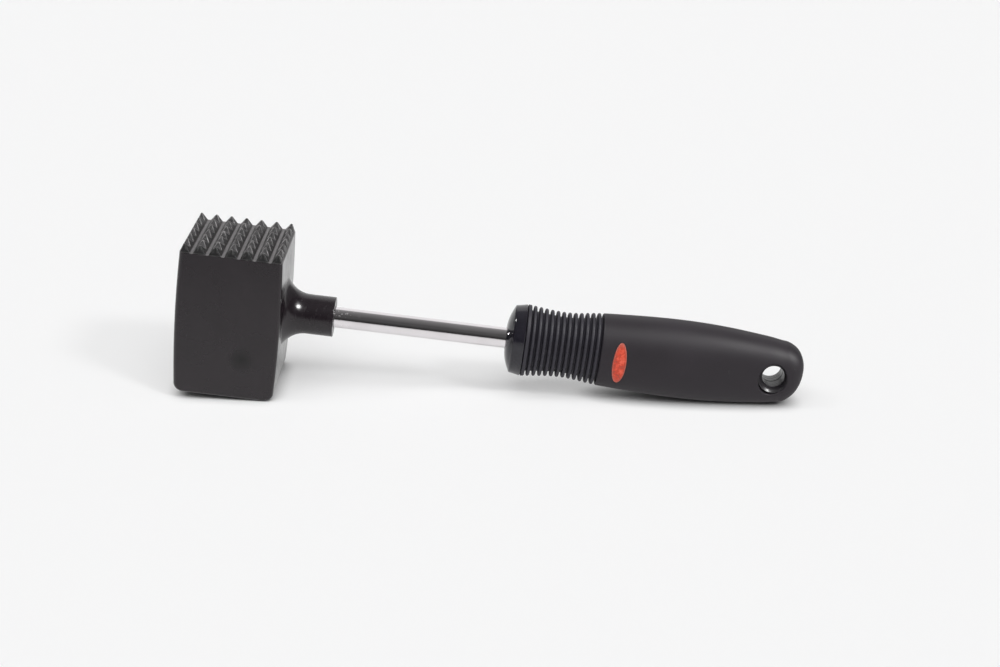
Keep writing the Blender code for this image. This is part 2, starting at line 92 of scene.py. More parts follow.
FERRULE_FRONT = 0.1141
FERRULE_EDGE = 0.1176
FERRULE_REAR = 0.12175
FERRULE_HALF_HEIGHT = 0.0146
FERRULE_HALF_THICKNESS = 0.0116
FERRULE_LIP = 0.0011
FERRULE_WALL = 0.0022
FERRULE_NOSE = 0.003
FERRULE_POWER = 1.75
FERRULE_HOLE_EDGE = 0.0002
FERRULE_STEP = 0.00025
FERRULE_LIP_FROM = 40
FERRULE_LIP_TURN = 50
FERRULE_BAND = (0.25, 0.5, 0.75, 0.94)

GRIP_FRONT = 0.12205
GRIP_BODY = 0.1537
GRIP_TAIL = 0.23095
GRIP_END = 0.2403
TAIL_LIFT = 0.0017
TAIL_WAIST = 0.0005
TAIL_EASE = 0.0004
TAIL_EASE_REACH = 0.0035
CAVITY_END = 0.23878
GRIP_STATIONS = (
    (GRIP_FRONT, 0.01547, 0.0123),
    (0.1385, 0.0140, 0.0113),
    (GRIP_BODY, 0.01542, 0.0121),
    (0.183, 0.01667, 0.0124),
    (0.205, 0.01612, 0.0114),
    (GRIP_TAIL, 0.01350, 0.0096),
)
POWER_FRONT = 2.1
POWER_TAIL = 2.6
CAP_HEIGHT_POWER = 2.0
CAP_THICKNESS_POWER = 2.8
CAP_CLOSE = 0.25
SHOULDER = 0.0006

RIBS = 12
RIB_PITCH = 0.00245
RIB_WIDTH = 0.00135
RIB_DEPTH = 0.0021
RIB_FIRST = 0.1251
RING_WIDTH = 0.0015
RING_EDGE = 0.00035
RIB_FOOT = 0.00025
RIB_SIDE = 0.00004

RIB_WALL = 0.0044
BODY_WALL = 0.0032
WALL_FROM = 0.150
WALL_TO = 0.158
CORE_TAIL = 0.2295
FIT_GAP = 0.0003

EYE = 0.2276
EYE_DROP = 0.0004
BORE_RADIUS = 0.00475
BARREL_RADIUS = 0.0069
BORE_HALF = 0.0059
BARREL_HALF = 0.0079
MOUTH_RADIUS = 0.0063
JOINT_CHAMFER = 0.0002
BARREL_CHAMFER = 0.0002
MOUTH_LAND = 0.0001
FUNNEL_SWELL = 0.00022
BORE_EDGE = 0.00025
BORE_EDGE_LENGTH = 0.0004
JOINT_GAP = 0.00007
OPENING_SHIFTS = {-1: (-0.0009, -0.0002), 1: (0.0, 0.0)}
OPENING_LENGTH = 0.0060
OPENING_HEIGHT = 0.00695
OPENING_LIP = 0.0007
OPENING_INSIDE = 0.004
OPENING_OUTSIDE = 0.003
OPENING_FLARE = 1.15
OPENING_START = 0.1
OPENING_TURNS = (25, 40, 55, 72, 90)

BADGE = 0.1619
BADGE_DROP = 0.0006
BADGE_WIDTH = 0.0028
BADGE_HEIGHT = 0.0091
BADGE_THICKNESS = 0.0012
BADGE_RIM = 0.0006
BADGE_RISE = 0.00015
BADGE_SINK = 0.0001
BADGE_GAP = 0.00012
BADGE_BACK = 0.00005
BADGE_STEP = 0.0001

ROUND = 96
SECTION = 120
SHAFT_SIDES = 128
BADGE_SIDES = 64


# The tool's own axes in the row frame, from the smooth lower face of the head
mount = frame["record"]["mounts"][0]
UP = -Vector(mount["axis"]).normalized()
ORIGIN = Vector(mount["pos_m"]) + UP * HEAD_BELOW
ALONG = Vector((UP.z, 0, -UP.x))
ACROSS = UP.cross(ALONG)
TOOL = Matrix.Translation(ORIGIN) @ Matrix((ALONG, ACROSS, UP)).transposed().to_4x4()


def smooth(mesh, angle):
    for polygon in mesh.polygons:
        polygon.use_smooth = True
    mesh.set_sharp_from_angle(angle=math.radians(angle))


def new_object(name, bm):
    bmesh.ops.recalc_face_normals(bm, faces=bm.faces)
    mesh = bpy.data.meshes.new(name)
    bm.to_mesh(mesh)
    bm.free()
    obj = bpy.data.objects.new(name, mesh)
    bpy.context.scene.collection.objects.link(obj)
    mesh.transform(TOOL)
    return obj


def wall(bm, rings, loop=False):
    """Quads between rings, and back to the first if asked; gives the rows of points."""
    rows = [[bm.verts.new(point) for point in ring] for ring in rings]
    pairs = list(zip(rows, rows[1:]))
    if loop:
        pairs.append((rows[-1], rows[0]))
    sides = len(rows[0])
    for low, high in pairs:
        for side in range(sides):
            following = (side + 1) % sides
            bm.faces.new((low[side], low[following], high[following], high[side]))
    return rows


def loft(name, rings, loop=False):
    """A wall with flat caps at both ends, or one whose last ring is joined back to the first."""
    bm = bmesh.new()
    rows = wall(bm, rings, loop)
    if not loop:
        bm.faces.new(rows[0])
        bm.faces.new(rows[-1])
    return new_object(name, bm)


def apply_modifiers(obj):
    """Keeps the evaluated mesh and drops the modifiers and the cutters."""
    cutters = [m.object for m in obj.modifiers if m.type == "BOOLEAN"]
    bpy.context.view_layer.update()
    graph = bpy.context.evaluated_depsgraph_get()
    mesh = bpy.data.meshes.new_from_object(obj.evaluated_get(graph))
    obj.modifiers.clear()
    obj.data = mesh
    mesh.name = obj.name
    for cutter in cutters:
        bpy.data.objects.remove(cutter)


def clear_slivers(obj):
    """Splits the many-sided faces that the cuts leave, and drops the faces without area."""
    bm = bmesh.new()
    bm.from_mesh(obj.data)
    many = [face for face in bm.faces if len(face.verts) > 4]
    bmesh.ops.triangulate(bm, faces=many, ngon_method="BEAUTY")
    bmesh.ops.dissolve_degenerate(bm, dist=SLIVER, edges=bm.edges)
    bm.to_mesh(obj.data)
    bm.free()


def cut(obj, other, operation="DIFFERENCE"):
    modifier = obj.modifiers.new("cut", "BOOLEAN")
    modifier.operation = operation
    modifier.solver = "EXACT"
    modifier.object = other


def add_bevel(obj, width, segments, angle):
    modifier = obj.modifiers.new("edges", "BEVEL")
    modifier.width = width
    modifier.segments = segments
    modifier.limit_method = "ANGLE"
    modifier.angle_limit = math.radians(angle)
    modifier.use_clamp_overlap = True
    modifier.miter_outer = "MITER_ARC"


def add_weighted_normals(obj):
    modifier = obj.modifiers.new("normals", "WEIGHTED_NORMAL")
    modifier.keep_sharp = True
    modifier.weight = 60


def circle(x, radius, sides=ROUND):
    ring = []
    for side in range(sides):
        turn = math.tau * side / sides
        ring.append((x, radius * math.cos(turn), radius * math.sin(turn)))
    return ring


def oval(x, half_height, half_thickness, power):
    share = 2 / power
    ring = []
    for side in range(SECTION):
        turn = math.tau * side / SECTION
        across = math.cos(turn)
        up = math.sin(turn)
        y = half_thickness * math.copysign(abs(across) ** share, across)
        z = half_height * math.copysign(abs(up) ** share, up)
        ring.append((x, y, z))
    return ring


def blend(x, column):
    count = len(GRIP_STATIONS)
    index = 0
    while index < count - 2 and x > GRIP_STATIONS[index + 1][0]:
        index += 1
    slopes = []
    for end in (index, index + 1):
        before = GRIP_STATIONS[max(end - 1, 0)]
        after = GRIP_STATIONS[min(end + 1, count - 1)]
        slopes.append((after[column] - before[column]) / (after[0] - before[0]))
    start = GRIP_STATIONS[index]
    finish = GRIP_STATIONS[index + 1]
    span = finish[0] - start[0]
    t = min(max((x - start[0]) / span, 0), 1)
    value = start[column] * (1 + 2 * t) * (1 - t) ** 2
    value += slopes[0] * span * t * (1 - t) ** 2
    value += finish[column] * t * t * (3 - 2 * t)
    value += slopes[1] * span * t * t * (t - 1)
    return value


def section_power(x):
    along = min(max((x - GRIP_FRONT) / (GRIP_TAIL - GRIP_FRONT), 0), 1)
    return POWER_FRONT + (POWER_TAIL - POWER_FRONT) * along


def half_height(x):
    """The body's height, eased where the rounded tail takes over."""
    return blend(x, 1) - TAIL_EASE * math.exp(-(((x - GRIP_TAIL) / TAIL_EASE_REACH) ** 2))


def grip_ring(x, inset):
    inset = inset + SKIN
    return oval(x, half_height(x) - inset, blend(x, 2) - inset, section_power(x))


def cap_height(along):
    """Half the height of the rounded tail at this share of its length."""
    full = half_height(GRIP_TAIL + (GRIP_END - GRIP_TAIL) * along) - SKIN
    height = full * (1 - along**CAP_HEIGHT_POWER) ** (1 / CAP_HEIGHT_POWER)
    return height - TAIL_WAIST * math.sin(math.pi * along) ** 2


def cap_thickness(along):
    full = blend(GRIP_TAIL, 2) - SKIN
    return full * (1 - along**CAP_THICKNESS_POWER) ** (1 / CAP_THICKNESS_POWER)


def cap_rings(steps):
    rings = []
    for step in range(1, steps + 1):
        along = math.sin(math.pi / 2 * step / (steps + CAP_CLOSE))
        x = GRIP_TAIL + (GRIP_END - GRIP_TAIL) * along
        ring = oval(x, cap_height(along), cap_thickness(along), POWER_TAIL)
        rings.append([(x, y, z + TAIL_LIFT * along**2) for x, y, z in ring])
    return rings


def side_surface(x, z):
    """How far the side of the grip stands from the middle plane at this place."""
    if x > GRIP_TAIL:
        along = min((x - GRIP_TAIL) / (GRIP_END - GRIP_TAIL), 0.999)
        height = cap_height(along)
        width = cap_thickness(along)
        z = z - TAIL_LIFT * along**2
    else:
        height = half_height(x) - SKIN
        width = blend(x, 2) - SKIN
    power = section_power(x)
    return width * max(1 - abs(z / height) ** power, 0) ** (1 / power)


# Pieces


def head_ring(z, end_inset, side_inset):
    """The block is crowned a little at both ends, more at the far one."""
    down = (HEAD_ABOVE - z) / (HEAD_ABOVE + HEAD_BELOW)
    crown = 4 * down * (1 - down)
    near_end = HEAD_LENGTH / 2 - end_inset + NEAR_BULGE * crown
    far_end = HEAD_LENGTH / 2 - end_inset + END_BULGE * crown - END_DRAFT * down
    half_depth = HEAD_DEPTH / 2 - side_inset
    near = NEAR_CORNER
    far = FAR_CORNER
    corners = (
        (near_end - near, half_depth - near, near, 0),
        (far - far_end, half_depth - far, far, 1),
        (far - far_end, far - half_depth, far, 2),
        (near_end - near, near - half_depth, near, 3),
    )
    steps = 8
    ring = []
    for x, y, radius, quarter in corners:
        for step in range(steps + 1):
            turn = math.pi / 2 * (quarter + step / steps)
            ring.append((x + radius * math.cos(turn), y + radius * math.sin(turn), z))
    return ring


def rounded(x, y, z):
    """One key for points that differ only in a float's last digits."""
    return round(x, 6), round(y, 6), round(z, 6)


def row_centre(row):
    return (row - (ROWS - 1) / 2) * PITCH


def tooth_row(bm, centre_x, z0, limit_x, limit_y):
    """One row of pyramids: two long flanks, with V notches cut across between the tips."""
    top = z0 + TOOTH_HEIGHT
    notch = z0 + NOTCH_FLOOR
    foot = (PITCH - GROOVE) / 2
    left_foot = max(centre_x - foot, -limit_x)
    right_foot = min(centre_x + foot, limit_x)
    down = 1 - NOTCH_FLOOR / TOOTH_HEIGHT
    left_notch = centre_x - TIP_HALF + (left_foot - centre_x + TIP_HALF) * down
    right_notch = centre_x + TIP_HALF + (right_foot - centre_x - TIP_HALF) * down
    verts = {}

    def vert(x, y, z):
        key = rounded(x, y, z)
        if key not in verts:
            verts[key] = bm.verts.new((x, y, z))
        return verts[key]

    def face(*points):
        corners = []
        for point in points:
            corner = vert(*point)
            if corner not in corners:
                corners.append(corner)
        bm.faces.new(corners)

    left_line = [(left_foot, -limit_y, z0)]
    right_line = [(right_foot, -limit_y, z0)]
    for index in range(ROWS):
        y = row_centre(index)
        front = y - TIP_HALF
        back = y + TIP_HALF
        tips = [
            (centre_x - TIP_HALF, front, top),
            (centre_x + TIP_HALF, front, top),
            (centre_x + TIP_HALF, back, top),
            (centre_x - TIP_HALF, back, top),
        ]
        face(*tips)
        if index == 0:
            face((left_foot, -limit_y, z0), (right_foot, -limit_y, z0), tips[1], tips[0])
        else:
            valley = y - PITCH / 2
            face((left_notch, valley, notch), (right_notch, valley, notch), tips[1], tips[0])
        if index == ROWS - 1:
            face((left_foot, limit_y, z0), tips[3], tips[2], (right_foot, limit_y, z0))
        else:
            valley = y + PITCH / 2
            face((left_notch, valley, notch), tips[3], tips[2], (right_notch, valley, notch))
        left_line += [tips[0], tips[3]]
        right_line += [tips[1], tips[2]]
        if index < ROWS - 1:
            valley = y + PITCH / 2
            left_line.append((left_notch, valley, notch))
            right_line.append((right_notch, valley, notch))
    left_line.append((left_foot, limit_y, z0))
    right_line.append((right_foot, limit_y, z0))
    face(*left_line)
    face(*right_line)
    return (left_foot, right_foot), verts


def make_head():
    bm = bmesh.new()
    rings = []
    steps = 12
    for step in range(steps + 1):
        rise = END_ROUNDING * (1 - math.cos(math.pi / 2 * step / steps))
        end_inset = END_ROUNDING - math.sqrt(max(END_ROUNDING**2 - (END_ROUNDING - rise) ** 2, 0))
        side_rise = max(SIDE_ROUNDING - rise, 0)
        side_inset = SIDE_ROUNDING - math.sqrt(SIDE_ROUNDING**2 - side_rise**2)
        z = rise - HEAD_BELOW
        rings.append(head_ring(z, end_inset, side_inset))
    start = END_ROUNDING - HEAD_BELOW
    levels = 24
    for level in range(1, levels + 1):
        z = start + (HEAD_ABOVE - TOP_EDGE - start) * level / levels
        rings.append(head_ring(z, 0, 0))
    rings.append(head_ring(HEAD_ABOVE, TOP_EDGE, TOP_EDGE))
    rows = wall(bm, rings)
    bm.faces.new(tuple(reversed(rows[0])))
    bm.faces.new(rows[-1])
    block = new_object("head_casting", bm)

    limit_x = HEAD_LENGTH / 2 - MARGIN
    limit_y = HEAD_DEPTH / 2 - MARGIN
    for row in range(ROWS):
        bm = bmesh.new()
        (left, right), verts = tooth_row(bm, row_centre(row), HEAD_ABOVE, limit_x, limit_y)
        root = HEAD_ABOVE - TOOTH_ROOT
        base = [(left, -limit_y), (right, -limit_y), (right, limit_y), (left, limit_y)]
        low = [bm.verts.new((x, y, root)) for x, y in base]
        high = [verts[rounded(x, y, HEAD_ABOVE)] for x, y in base]
        for i in range(4):
            j = (i + 1) % 4
            bm.faces.new((low[i], low[j], high[j], high[i]))
        bm.faces.new(tuple(reversed(low)))
        teeth = new_object("teeth", bm)
        add_bevel(teeth, TOOTH_EDGE, 3, 12)
        apply_modifiers(teeth)
        cut(block, teeth, "UNION")

    face_x = HEAD_LENGTH / 2
    centre_x = face_x + FLARE_RADIUS - FLARE_LEAD
    centre_radius = NECK_RADIUS + FLARE_RADIUS
    start_turn = math.acos((centre_x - face_x) / FLARE_RADIUS)
    profile = []
    steps = 20
    for step in range(steps + 1):
        turn = start_turn + (math.pi / 2 - start_turn) * step / steps
        profile.append(
            (
                centre_x - FLARE_RADIUS * math.cos(turn),
                centre_radius - FLARE_RADIUS * math.sin(turn),
            )
        )
    profile.insert(0, (face_x - NECK_ROOT, profile[0][1]))
    for step in range(5):
        turn = math.pi / 2 * step / 4
        profile.append(
            (
                NECK_END - NECK_LIP + NECK_LIP * math.sin(turn),
                NECK_RADIUS - NECK_LIP + NECK_LIP * math.cos(turn),
            )
        )
    cut(block, loft("neck", [circle(x, radius) for x, radius in profile]), "UNION")
    hole = SHAFT_RADIUS + SOCKET_GAP
    socket = loft(
        "socket",
        [
            circle(SOCKET_END, hole),
            circle(NECK_END - SOCKET_CHAMFER_DEPTH, hole),
            circle(NECK_END + CUT_GAP, hole + SOCKET_CHAMFER),
        ],
    )
    cut(block, socket)
    apply_modifiers(block)
    clear_slivers(block)
    smooth(block.data, 30)
    add_weighted_normals(block)
    return block


def make_shaft():
    profile = [
        (SHAFT_FRONT, SHAFT_RADIUS - SHAFT_CHAMFER),
        (SHAFT_FRONT + SHAFT_CHAMFER, SHAFT_RADIUS),
        (SHAFT_REAR - SHAFT_CHAMFER, SHAFT_RADIUS),
        (SHAFT_REAR, SHAFT_RADIUS - SHAFT_CHAMFER),
    ]
    shaft = loft("shaft_rod", [circle(x, radius, SHAFT_SIDES) for x, radius in profile])
    smooth(shaft.data, 30)
    return shaft


def make_ferrule():
    hole = SHAFT_RADIUS + FIT_GAP
    rings = []
    steps = 28
    depth = FERRULE_EDGE - FERRULE_FRONT
    rings.append(oval(FERRULE_FRONT + FERRULE_NOSE, hole, hole, 2))
    rings.append(oval(FERRULE_FRONT + FERRULE_HOLE_EDGE, hole, hole, 2))
    for step in range(steps + 1):
        share = step / steps
        start = hole + FERRULE_HOLE_EDGE
        height = start + (FERRULE_HALF_HEIGHT - FERRULE_LIP - start) * share
        thickness = start + (FERRULE_HALF_THICKNESS - FERRULE_LIP - start) * share
        power = 2 + (POWER_FRONT - 2) * share
        x = FERRULE_FRONT + (depth - FERRULE_LIP) * share**FERRULE_POWER
        rings.append(oval(x, height, thickness, power))
    lip_steps = 6
    for step in range(1, lip_steps + 1):
        turn = math.radians(FERRULE_LIP_FROM) + math.radians(FERRULE_LIP_TURN) * step / lip_steps
        inset = FERRULE_LIP * (1 - math.sin(turn))
        x = FERRULE_EDGE - FERRULE_LIP * math.cos(turn)
        height = FERRULE_HALF_HEIGHT - inset
        thickness = FERRULE_HALF_THICKNESS - inset
        rings.append(oval(x, height, thickness, POWER_FRONT))
    rear = FERRULE_REAR
    for share in FERRULE_BAND:
        x = FERRULE_EDGE + (rear - FERRULE_EDGE) * share
        height = FERRULE_HALF_HEIGHT + (blend(rear, 1) - FERRULE_HALF_HEIGHT) * share - SKIN
        change = blend(rear, 2) - FERRULE_HALF_THICKNESS
        thickness = FERRULE_HALF_THICKNESS + change * share - SKIN
        rings.append(oval(x, height, thickness, POWER_FRONT))
    rings.append(grip_ring(rear, FERRULE_STEP))
    inner_height = FERRULE_HALF_HEIGHT - FERRULE_WALL
    inner_thickness = FERRULE_HALF_THICKNESS - FERRULE_WALL
    rings.append(oval(rear, inner_height, inner_thickness, POWER_FRONT))
    rings.append(oval(FERRULE_FRONT + FERRULE_NOSE, inner_height, inner_thickness, POWER_FRONT))
    ferrule = loft("ferrule_cap", rings, loop=True)
    smooth(ferrule.data, 30)
    return ferrule


def eye_circle(radius, y):
    ring = []
    for side in range(ROUND):
        turn = math.tau * side / ROUND
        ring.append((EYE + radius * math.cos(turn), y, radius * math.sin(turn) - EYE_DROP))
    return ring


def core_wall(x):
    t = min(max((x - WALL_FROM) / (WALL_TO - WALL_FROM), 0), 1)
    return RIB_WALL + (BODY_WALL - RIB_WALL) * t * t * (3 - 2 * t)


def opening_ring(grow, depth, sign):
    ring = []
    shift, rise = OPENING_SHIFTS[sign]
    for side in range(ROUND):
        turn = math.tau * side / ROUND
        x = EYE + shift + (OPENING_LENGTH + grow) * math.cos(turn)
        z = (OPENING_HEIGHT + grow) * math.sin(turn) - EYE_DROP + rise
        ring.append((x, sign * (side_surface(x, z) - depth), z))
    return ring


def badge_ring(inset, depth):
    ring = []
    for side in range(BADGE_SIDES):
        turn = math.tau * side / BADGE_SIDES
        x = BADGE + (BADGE_WIDTH - inset) * math.cos(turn)
        z = (BADGE_HEIGHT - inset) * math.sin(turn) - BADGE_DROP
        ring.append((x, depth - side_surface(x, z), z))
    return ring


def strip_cap(bm, ring):
    """Closes a curved oval with strips straight across it, so that it keeps its curve."""
    sides = len(ring)
    quarter = sides // 4
    for step in range(-quarter, quarter):
        corners = []
        for turn in (step, step + 1, sides // 2 - step - 1, sides // 2 - step):
            corner = ring[turn % sides]
            if corner not in corners:
                corners.append(corner)
        bm.faces.new(corners)


def curved_loft(name, rings):
    bm = bmesh.new()
    rows = wall(bm, rings)
    strip_cap(bm, rows[0])
    strip_cap(bm, rows[-1])
    return new_object(name, bm)


def make_grip():
    rings = []
    ring_end = GRIP_FRONT + RING_WIDTH
    edge = RING_EDGE
    corner = 4
    for step in range(corner + 1):
        turn = math.pi / 2 * step / corner
        x = GRIP_FRONT + edge * (1 - math.cos(turn))
        rings.append(grip_ring(x, edge * (1 - math.sin(turn))))
    for step in range(corner + 1):
        turn = math.pi / 2 * step / corner
        x = ring_end - edge + edge * math.sin(turn)
        rings.append(grip_ring(x, edge * (1 - math.cos(turn))))
    half = RIB_WIDTH / 2
    foot = RIB_FOOT
    rings.append(grip_ring(ring_end + RIB_SIDE, RIB_DEPTH - foot))
    rings.append(grip_ring(ring_end + foot, RIB_DEPTH))
    tip_steps = 10
    for index in range(RIBS):
        middle = RIB_FIRST + index * RIB_PITCH
        rings.append(grip_ring(middle - half - foot, RIB_DEPTH))
        rings.append(grip_ring(middle - half - RIB_SIDE, RIB_DEPTH - foot))
        for step in range(tip_steps + 1):
            turn = math.pi * step / tip_steps
            rings.append(grip_ring(middle - half * math.cos(turn), half * (1 - math.sin(turn))))
        rings.append(grip_ring(middle + half + RIB_SIDE, RIB_DEPTH - foot))
        rings.append(grip_ring(middle + half + foot, RIB_DEPTH))
    rings.append(grip_ring(GRIP_BODY - foot, RIB_DEPTH))
    rings.append(grip_ring(GRIP_BODY - RIB_SIDE, RIB_DEPTH - foot))
    steps = 6
    for step in range(steps + 1):
        turn = math.pi / 2 * step / steps
        x = GRIP_BODY + SHOULDER * (1 - math.cos(turn))
        rings.append(grip_ring(x, SHOULDER * (1 - math.sin(turn))))
    start = GRIP_BODY + SHOULDER
    steps = 64
    for step in range(1, steps + 1):
        rings.append(grip_ring(start + (GRIP_TAIL - start) * step / steps, 0))
    rings += cap_rings(22)
    grip = loft("grip_sleeve", rings)

    cavity = [grip_ring(GRIP_FRONT, RIB_WALL - FIT_GAP)]
    cavity[0] = [(GRIP_FRONT - CUT_REACH, y, z) for _, y, z in cavity[0]]
    steps = 24
    for step in range(steps + 1):
        x = GRIP_FRONT + (CORE_TAIL - GRIP_FRONT) * step / steps
        cavity.append(grip_ring(x, core_wall(x) - FIT_GAP))
    tail_steps = 7
    for step in range(1, tail_steps + 1):
        along = math.sin(math.pi / 2 * step / (tail_steps + 0.5))
        height_share = (1 - along**CAP_HEIGHT_POWER) ** (1 / CAP_HEIGHT_POWER)
        thickness_share = (1 - along**CAP_THICKNESS_POWER) ** (1 / CAP_THICKNESS_POWER)
        inset = BODY_WALL - FIT_GAP
        cavity.append(
            oval(
                CORE_TAIL + (CAVITY_END - CORE_TAIL) * along,
                (blend(GRIP_TAIL, 1) - inset) * height_share,
                (blend(GRIP_TAIL, 2) - inset) * thickness_share,
                POWER_TAIL,
            )
        )
    cut(grip, loft("grip_cavity", cavity))

    reach = BARREL_HALF + CUT_GAP
    pocket = [eye_circle(BARREL_RADIUS + CUT_GAP, y) for y in (-reach, reach)]
    cut(grip, loft("grip_pocket", pocket))

    for sign in (-1, 1):
        lip = OPENING_LIP
        outer = lip * OPENING_FLARE
        window = [
            opening_ring(outer, -OPENING_OUTSIDE, sign),
            opening_ring(outer, -lip * OPENING_START, sign),
        ]
        for degrees in OPENING_TURNS:
            turn = math.radians(degrees)
            grow = lip * (1 - math.sin(turn))
            window.append(opening_ring(grow, lip * (1 - math.cos(turn)), sign))
        window.append([(x, sign * OPENING_INSIDE, z) for x, _, z in window[-1]])
        cut(grip, curved_loft("grip_window", window))
    depths = (BADGE_THICKNESS + CUT_GAP, -CUT_REACH)
    badge_pocket = [badge_ring(-BADGE_GAP, depth) for depth in depths]
    cut(grip, curved_loft("badge_pocket", badge_pocket))
    apply_modifiers(grip)
    clear_slivers(grip)
    smooth(grip.data, 32)
    add_weighted_normals(grip)
    return grip


def make_eye_half(name, sign):
    profile = [
        (BARREL_RADIUS - BARREL_CHAMFER, JOINT_GAP),
        (BARREL_RADIUS, JOINT_GAP + BARREL_CHAMFER),
        (BARREL_RADIUS, BARREL_HALF - BARREL_CHAMFER),
        (BARREL_RADIUS - BARREL_CHAMFER, BARREL_HALF),
        (MOUTH_RADIUS + MOUTH_LAND, BARREL_HALF),
    ]
    steps = 12
    for step in range(steps + 1):
        share = step / steps
        swell = math.sin(share * math.pi) * FUNNEL_SWELL
        radius = MOUTH_RADIUS + (BORE_RADIUS + BORE_EDGE - MOUTH_RADIUS) * share - swell
        fall = (BORE_HALF - BARREL_HALF + MOUTH_LAND) * share
        profile.append((radius, BARREL_HALF - MOUTH_LAND + fall))
    edge_steps = 3
    for step in range(1, edge_steps + 1):
        turn = math.pi / 2 * step / edge_steps
        radius = BORE_RADIUS + BORE_EDGE * (1 - math.sin(turn))
        profile.append((radius, BORE_HALF - BORE_EDGE_LENGTH * (1 - math.cos(turn)) - MOUTH_LAND))
    profile.append((BORE_RADIUS, JOINT_GAP + JOINT_CHAMFER))
    profile.append((BORE_RADIUS + JOINT_CHAMFER, JOINT_GAP))
    half = loft(name, [eye_circle(radius, sign * y) for radius, y in profile], loop=True)
    smooth(half.data, 30)
    return half


def make_badge():
    rings = [badge_ring(0, BADGE_THICKNESS), badge_ring(0, BADGE_BACK)]
    rim_steps = 6
    for step in range(rim_steps + 1):
        turn = math.pi * step / rim_steps
        inset = BADGE_RIM / 2 * (1 - math.cos(turn))
        depth = -BADGE_RISE * math.sin(turn) + BADGE_SINK * step / rim_steps
        rings.append(badge_ring(inset, depth))
    rings.append(badge_ring(BADGE_RIM + BADGE_STEP, BADGE_SINK))
    badge = curved_loft("badge_inlay", rings)
    smooth(badge.data, 40)
    return badge


# Materials


class Tree:
    """The nodes of a material or a world, with a few short ways to add more."""

    def __init__(self, owner):
        owner.use_nodes = True
        self.nodes = owner.node_tree.nodes
        self.links = owner.node_tree.links

    def link(self, out, to):
        self.links.new(out, to)

    def split(self, vector):
        node = self.nodes.new("ShaderNodeSeparateXYZ")
        self.link(vector, node.inputs[0])
        return node.outputs

    def ramp(self, out, stops):
        node = self.nodes.new("ShaderNodeValToRGB")
        elements = node.color_ramp.elements
        while len(elements) < len(stops):
            elements.new(0.5)
        for element, (at, colour) in zip(elements, stops):
            element.position = at
            if not isinstance(colour, tuple):
                colour = (colour, colour, colour)
            element.color = (*colour, 1)
        self.link(out, node.inputs["Fac"])
        return node.outputs["Color"]

    def span(self, out, low, high, new_low, new_high):
        node = self.nodes.new("ShaderNodeMapRange")
        keys = ("From Min", "From Max", "To Min", "To Max")
        for key, value in zip(keys, (low, high, new_low, new_high)):
            node.inputs[key].default_value = value
        self.link(out, node.inputs["Value"])
        return node.outputs["Result"]

    def maths(self, kind, first, second):
        node = self.nodes.new("ShaderNodeMath")
        node.operation = kind
        for socket, value in zip(node.inputs, (first, second)):
            if isinstance(value, (int, float)):
                socket.default_value = value
            else:
                self.link(value, socket)
        return node.outputs["Value"]

    def choose(self, factor, first, second):
        """The second value where the factor is one, else the first."""
        kept = self.maths("MULTIPLY", first, self.maths("SUBTRACT", 1.0, factor))
        return self.maths("ADD", kept, self.maths("MULTIPLY", second, factor))


class Paint(Tree):
    """A node material, placed by the tool's own axes."""

    def __init__(self, name, **values):
        self.material = bpy.data.materials.new(name)
        super().__init__(self.material)
        self.shader = self.nodes["Principled BSDF"]
        back = TOOL.inverted()
        turned = self.nodes.new("ShaderNodeMapping")
        turned.inputs["Location"].default_value = back.translation
        turned.inputs["Rotation"].default_value = back.to_euler()
        self.link(self.nodes.new("ShaderNodeTexCoord").outputs["Object"], turned.inputs["Vector"])
        self.place = turned.outputs["Vector"]
        for key, value in values.items():
            self.shader.inputs[key.replace("_", " ")].default_value = value

    def stretch(self, scale):
        node = self.nodes.new("ShaderNodeMapping")
        node.inputs["Scale"].default_value = scale
        self.link(self.place, node.inputs["Vector"])
        return node.outputs["Vector"]

    def axes(self):
        """The place along the tool, through its thickness and up."""
        return self.split(self.place)

    def noise(self, scale, detail=2.0, rough=0.5, vector=None):
        node = self.nodes.new("ShaderNodeTexNoise")
        node.inputs["Scale"].default_value = scale
        node.inputs["Detail"].default_value = detail
        node.inputs["Roughness"].default_value = rough
        self.link(vector or self.place, node.inputs["Vector"])
        return node.outputs["Fac"]

    def mix(self, factor, first, second):
        node = self.nodes.new("ShaderNodeMix")
        node.data_type = "RGBA"
        self.link(factor, node.inputs["Factor"])
        for key, value in (("A", first), ("B", second)):
            socket = [s for s in node.inputs if s.name == key and s.type == "RGBA"][0]
            if isinstance(value, tuple):
                socket.default_value = (*value, 1)
            else:
                self.link(value, socket)
        return [s for s in node.outputs if s.type == "RGBA"][0]

    def colour(self, out):
        self.link(out, self.shader.inputs["Base Color"])

    def mottled(self, scale, detail, dark, pale):
        """A colour that wanders between two tones."""
        self.colour(self.ramp(self.noise(scale, detail), ((0.3, dark), (0.7, pale))))

    def rough(self, out):
        self.link(out, self.shader.inputs["Roughness"])

    def bump(self, out, strength, distance, normal=None):
        node = self.nodes.new("ShaderNodeBump")
        node.inputs["Strength"].default_value = strength
        node.inputs["Distance"].default_value = distance
        self.link(out, node.inputs["Height"])
        if normal:
            self.link(normal, node.inputs["Normal"])
        self.link(node.outputs["Normal"], self.shader.inputs["Normal"])
        return node.outputs["Normal"]


def from_centres(paint, out, pitch):
    """Distance from the nearest line of teeth. The 20 whole pitches keep the share positive."""
    turns = paint.maths("FRACT", paint.maths("ADD", paint.maths("DIVIDE", out, pitch), 20.5), 0)
    apart = paint.maths("ABSOLUTE", paint.maths("SUBTRACT", turns, 0.5), 0)
    return paint.maths("MULTIPLY", apart, pitch)


